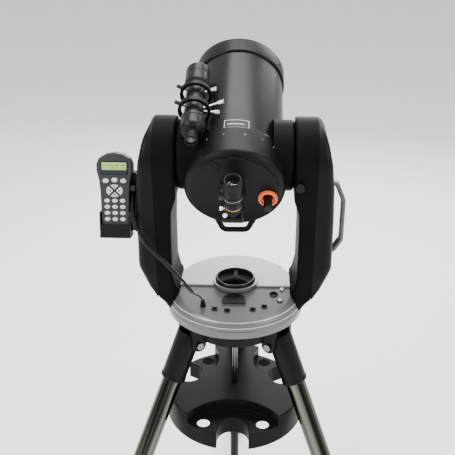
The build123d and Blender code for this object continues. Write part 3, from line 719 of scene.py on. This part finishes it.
# Painted highlights: thin rings of light silver along two edges of the rim, where the edges catch the light.
for i, (radius, height) in enumerate(((173.2, 8.2), (167.6, 21.2))):
    low, high = height - 0.6, height + 0.5
    line = soft_lathe([(radius - 1.4, low), (radius, low), (radius, high), (radius - 1.4, high)], 0.3, 160)
    build(f"base_edge_highlight_{i}", line, "silver_edge", "mount", GAP)
# The lower plate takes the darker copy as well: painted shade.
refine("base_plate", 1.5, "silver_dark")
refine("port_sockets", 0.4)

# Azimuth dial: a dish crossed by three ribs, inside a raised ring
dish = soft_lathe([(0, 47), (30, 48), (41, 49.5), (44.5, 56), (44.5, 46.3), (0, 46.3)], 1.2, 96)
ribs = []
for i in range(3):
    rings = []
    for r, half, top in ((2, 11, 56.5), (10, 10, 57.2), (22, 8, 56.6), (34, 7, 55.2), (43, 8.5, 54.4)):
        corners = [(-half, 46.6), (half, 46.6), (half * 0.8, top), (-half * 0.8, top)]
        rings.append([(r, p[0], p[1]) for p in rounded(corners, [0, 0, 4, 4], steps=4)])
    ribs.append(moved(loft(rings), turn(90 + 120 * i, "Z")))
hub_cap = soft_lathe([(0, 57.6), (9, 57.4), (13, 55), (14, 47), (0, 47)], 2.0, 48)
build("azimuth_dial", join(dish, *ribs, hub_cap), "arm_black", "azimuth_knob", GAP, ["azimuth_knob"],
      smooth=40)
dial_ring = soft_lathe([
    (44.6, 46.4), (50.2, 46.4), (50.2, 55.6), (48.4, 58.2), (45.6, 58.2), (44.6, 55),
], 1.2, 96)
build("azimuth_dial_ring", dial_ring, "black_plastic", "azimuth_knob", GAP)

# Blank plaque and metal rims on the panel, screws in the deck
plaque = rounded([(-30.5, -20), (-26, 8), (-12, 20), (12, 20), (26, 8), (30.5, -20)], [4, 16, 14, 14, 16, 4])
build("panel_plaque", prism(plaque, 0.02, 1.4), "black_plastic", "mount", PANEL @ spot(-0.5, -56, 0),
      round_by=0.5)
for name, x, y in (("power_jack", 112.7, -58.3), ("power_switch", 118.1, -14)):
    rim = soft_lathe([(2.2, -0.6), (4.6, -0.6), (4.6, 0.4), (2.2, 0.4)], 0.2, 32)
    build(name + "_rim", rim, "bright_steel", "mount", PANEL @ spot(x, y, 0))
for side, x in (("left", -117), ("right", 117)):
    build(f"deck_screw_{side}", screw(3.4, 1.6, 1.6), "bright_steel", "mount",
          GAP @ spot(x, 88, DECK_RISE))
refine("carry_handle", 1.0)
refine("altitude_knob", 1.0)

# ------------------------------------------------------------------ tripod
refine("tripod_head", 2.0)
refine("tripod_bolts", 0.8, "rod_steel")
refine("center_rod", 0.4, "rod_steel")
refine("leg_tray", 1.6, "tray_plastic")
refine("tension_knob", 1.4)
for side in LEG_ANGLES:
    refine("leg_castings_" + side, 1.2)
    refine("leg_foot_" + side, 2.0)
    refine("clamp_knob_" + side, 0.8)
    upper = lathe([(23.9, 12), (25.4, 12), (25.4, 575), (23.9, 575)], 96)
    build(f"leg_tube_{side}_steel", upper, "leg_steel", "leg_" + side, LEG[side], ["leg_tube_" + side])
    lower = lathe([(20.5, 180), (22, 180), (22, 740), (20.5, 740)], 96)
    build(f"leg_extension_{side}_steel", lower, "leg_steel", "extension_" + side, LEG[side],
          ["leg_extension_" + side])
    trim = soft_lathe([
        (25.5, 103), (32.6, 103), (33.2, 105), (33.2, 112), (31.5, 114), (25.5, 114),
    ], 1.0, 64)
    build(f"leg_collar_{side}", trim, "black_casting", "leg_" + side, LEG[side])

# ------------------------------------------------------------------ hand control
refine("handset_body", 1.6)
refine("keypad", 0.7)

# Direction keys: quarters of an oval, a step of the arc to each of its points
OVAL = (19.8, 14.8)
OVAL_LOW = 1  # its centre below the origin
ARC_STEPS = 8
ARC_STEP = 4.6
for k, name in enumerate(("right", "up", "left", "down")):
    c, s = math.cos(math.radians(90 * k)), math.sin(math.radians(90 * k))
    fan = [(c * 3.4, s * 3.4)]
    for step in range(-ARC_STEPS, ARC_STEPS + 1):
        a = math.radians(step * ARC_STEP + 90 * k)
        reach = 1 / math.hypot(math.cos(a) / OVAL[0], math.sin(a) / OVAL[1])
        fan.append((reach * math.cos(a), reach * math.sin(a)))
    corners = [1.0, 1.0] + [0] * (2 * ARC_STEPS - 1) + [1.0]
    cap = prism([(p[0], p[1] - OVAL_LOW) for p in rounded(fan, corners, steps=3)], -2.2, 2.5)
    build(f"key_{name}_cap", cap, "key_rubber", "key_" + name, HAND, ["key_" + name], round_by=0.6)
refine("handset_cradle", 1.6)
bracket = rounded([(-262, -18), (-231, -18), (-231, 4), (-262, 4)], 3.0)
build("handset_bracket_foot", prism(bracket, GAP_Z + 190, GAP_Z + 232), "black_plastic", "mount",
      round_by=1.0)
refine("cord_plug", 0.6)


def window(left, right, low, high, corner):
    """Rounded rectangle on the face of the hand control."""
    return rounded([(left, low), (right, low), (right, high), (left, high)], corner)


# Screen: bezel, lit panel, two rows of bars for figures, and the dark strip below
build("screen_bezel", prism(window(-31.8, 31.8, 37.7, 69.3, 1.5), -1.4, 0.5), "black_plastic", "mount",
      HAND, ["handset_screen"], round_by=0.4)
build("screen_panel", prism(window(-29.5, 29, 48.5, 66.7, 0.8), 0.3, 0.75), "lcd", "mount", HAND)
BLANK_SHARE = 0.25
BAR = (2.2, 1.0)
bars = []
random.seed(4)
for row in (52.0, 58.4):
    for column in range(17):
        if random.random() < BLANK_SHARE:
            continue
        left = -26.4 + column * 3.1
        for k in range(2):
            low = row + k * 1.7
            corners = [(left, low), (left + BAR[0], low), (left + BAR[0], low + BAR[1]), (left, low + BAR[1])]
            bars.append(prism(corners, 0.74, 0.82))
build("screen_segments", join(*bars), "handset_grey", "mount", HAND)
build("screen_strip", prism(window(-29.5, 29, 39.2, 46.6, 0.8), 0.3, 0.7), "navy", "mount", HAND)

# Painted highlights: pale strips along the edges of the cradle where its rims catch the light, and a dot on
# each direction key
for side, x in (("left", -36.6), ("right", 36.6)):
    edge = [(x - 0.3, -110), (x + 0.3, -110), (x + 0.3, -53), (x - 0.3, -53)]
    build(f"cradle_highlight_{side}", prism(edge, 0, 0.2), "handle_grey", "mount", HAND @ spot(0, 0, 5.9),
          smooth=50)
for name, x, y in (("right", 11, -1), ("left", -11, -1), ("up", 0, 8), ("down", 0, -10)):
    dot = soft_lathe([(0, 2.3), (2.0, 2.3), (2.0, 2.7), (0, 2.7)], 0.1, 20)
    build(f"key_{name}_dot", dot, "black_plastic", "key_" + name, HAND @ spot(x, y, 0))


def mesh_of(name, curve):
    """The mesh that a curve makes."""
    obj = new_object(name, curve)
    bpy.context.view_layer.update()
    mesh = bpy.data.meshes.new_from_object(obj.evaluated_get(bpy.context.evaluated_depsgraph_get()))
    bpy.data.objects.remove(obj)
    return mesh


KEY_TOP = 1.84
KEY_ROWS = (-25, -40, -55)
KEY_COLUMNS = (-18.5, 0, 18.5)


def figure(text, x, y):
    """Raised figure standing on a key."""
    curve = bpy.data.curves.new("figure_" + text, "FONT")
    curve.body = text
    curve.size = 6 * MM
    curve.extrude = 0.06 * MM
    curve.align_x = "CENTER"
    curve.align_y = "CENTER"
    obj = new_object("figure_" + text, mesh_of("figure_curve", curve))
    obj.matrix_world = HAND @ spot(x, y, KEY_TOP)
    finish_mesh(obj, M["black_plastic"])
    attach(obj, "mount")


keys = [(x, y) for y in KEY_ROWS for x in KEY_COLUMNS] + [(0, -70)]
for value, (x, y) in zip("1234567890", keys):
    figure(value, x, y)

# ------------------------------------------------------------------ hand control cord
WIRE_R = 1.7
COIL_R = 3.5
COIL_FROM, COIL_TO = 4.0, 308.0  # along the route; the rest is straight wire
COIL_FADE = 6.0  # over which the coil opens out from the straight wire
PITCH = 6.3
TIGHTER_BY = 2.1  # the pitch closes up by this much
TIGHTER_FROM, TIGHTER_OVER = 100.0, 80.0
TURN_STEPS = 16
STRAIGHT_STEP = 1.0

# From the strain relief under the hand control, hanging beside the arm, to the first socket of the panel
relief = HAND @ Vector((40 * MM, -2 * MM, -15 * MM))
socket = PANEL @ Vector((-75.8 * MM, -83.0 * MM, 12 * MM))
ROUTE = [
    (-246.6, -35, 285.5), (-245.5, -50, 269), (-243, -76, 253), (-234, -93, 237), (-223, -99, 218),
    (-206, -106, 192), (-182, -112, 170), (-159.5, -116, 149), (-129, -122, 116), (-112, -124, 95),
    (-96, -125, 75), (-87, -121.5, 70), (-79.5, -113, 59.5),
]
route = [relief] + [GAP @ (Vector(p) * MM) for p in ROUTE] + [socket]


def spline_line(points):
    """Points along the smooth line that a route's NURBS spline makes."""
    curve = bpy.data.curves.new("route", "CURVE")
    curve.dimensions = "3D"
    curve.resolution_u = 32
    spline = curve.splines.new("NURBS")
    spline.points.add(len(points) - 1)
    for control, p in zip(spline.points, points):
        control.co = (p.x, p.y, p.z, 1.0)
    spline.order_u = 3
    spline.use_endpoint_u = True
    return [v.co.copy() for v in mesh_of("route", curve).vertices]


def progress(value, start, span):
    """How far value is through a span, from 0 to 1."""
    return min(max((value - start) / span, 0.0), 1.0)


def coiled(line, start, end):
    """The line with a helix wound round it between two distances along it."""
    travelled = [0.0]
    for a, b in zip(line, line[1:]):
        travelled.append(travelled[-1] + (b - a).length)
    side = (line[1] - line[0]).cross(Vector((0, 0, 1))).normalized()
    result, at, phase, i = [], 0.0, 0.0, 0
    while at < travelled[-1]:
        while travelled[i + 1] < at:
            i += 1
        here = line[i].lerp(line[i + 1], (at - travelled[i]) / (travelled[i + 1] - travelled[i]))
        ahead = (line[i + 1] - line[i]).normalized()
        side = (side - ahead * side.dot(ahead)).normalized()
        other = ahead.cross(side)
        opened = progress(at, start, COIL_FADE * MM) * progress(-at, -end, COIL_FADE * MM)
        radius = COIL_R * MM * opened ** 0.5
        result.append(here + (side * math.cos(phase) + other * math.sin(phase)) * radius)
        if start < at < end:
            pitch = PITCH - TIGHTER_BY * progress(at, TIGHTER_FROM * MM, TIGHTER_OVER * MM)
            at += pitch * MM / TURN_STEPS
            phase += 2 * math.pi / TURN_STEPS
        else:
            at += STRAIGHT_STEP * MM
    result.append(line[-1])
    return result


wire = coiled(spline_line(route), COIL_FROM * MM, COIL_TO * MM)
wire_mm = [p / MM for p in wire]
cord = build("hand_control_cord", sweep(wire_mm, circle(WIRE_R, 8), up=(0, 1, 0.2)), "cord_black",
             "mount", Matrix.Identity(4), ["handset_cord", "cord_tail"], smooth=80)

# ------------------------------------------------------------------ the rest of the CAD nodes
for node, obj in NODES.items():
    if not obj.hide_render:
        obj.data.materials.clear()
        obj.data.materials.append(M[SLOT_OF[node]])

# ------------------------------------------------------------------ floor and light
# These are in metres.
FLOOR_EDGE = 40
floor_outline = [(x * FLOOR_EDGE, y * FLOOR_EDGE) for x, y in ((-1, -1), (1, -1), (1, 1), (-1, 1))]
floor_points, floor_faces = prism(floor_outline, -0.02, 0.0)
floor_mesh = bpy.data.meshes.new("floor")
floor_mesh.from_pydata(floor_points, [], floor_faces)
floor_mesh.materials.append(surface("pale_floor", (0.95, 0.95, 0.95), 0.9, grain=30, bump=0.0, vary=0.01))
floor = new_object("floor", floor_mesh)


def area_light(name, place, aim_height, size, power):
    """Soft light looking at a height on the middle of the object."""
    data = bpy.data.lights.new(name, "AREA")
    data.shape = "RECTANGLE"
    data.size, data.size_y = size
    data.energy = power
    obj = new_object(name, data)
    obj.location = place
    aim = Vector((0, 0, aim_height)) - Vector(place)
    obj.rotation_euler = aim.to_track_quat("-Z", "Y").to_euler()


area_light("key", (-2.6, -2.2, 3.4), 1.0, (1.8, 1.8), 130)
area_light("fill", (2.8, -1.8, 2.6), 0.9, (1.6, 2.2), 75)
area_light("top", (0.2, 0.6, 3.8), 0.9, (2.4, 2.0), 150)
area_light("back", (0.6, 3.0, 2.4), 1.2, (2.6, 1.6), 110)
world = bpy.data.worlds.new("studio")
bpy.context.scene.world = world
world.use_nodes = True
sky = world.node_tree.nodes["Background"]
sky.inputs["Color"].default_value = (1.0, 1.0, 1.0, 1.0)
sky.inputs["Strength"].default_value = 1.05
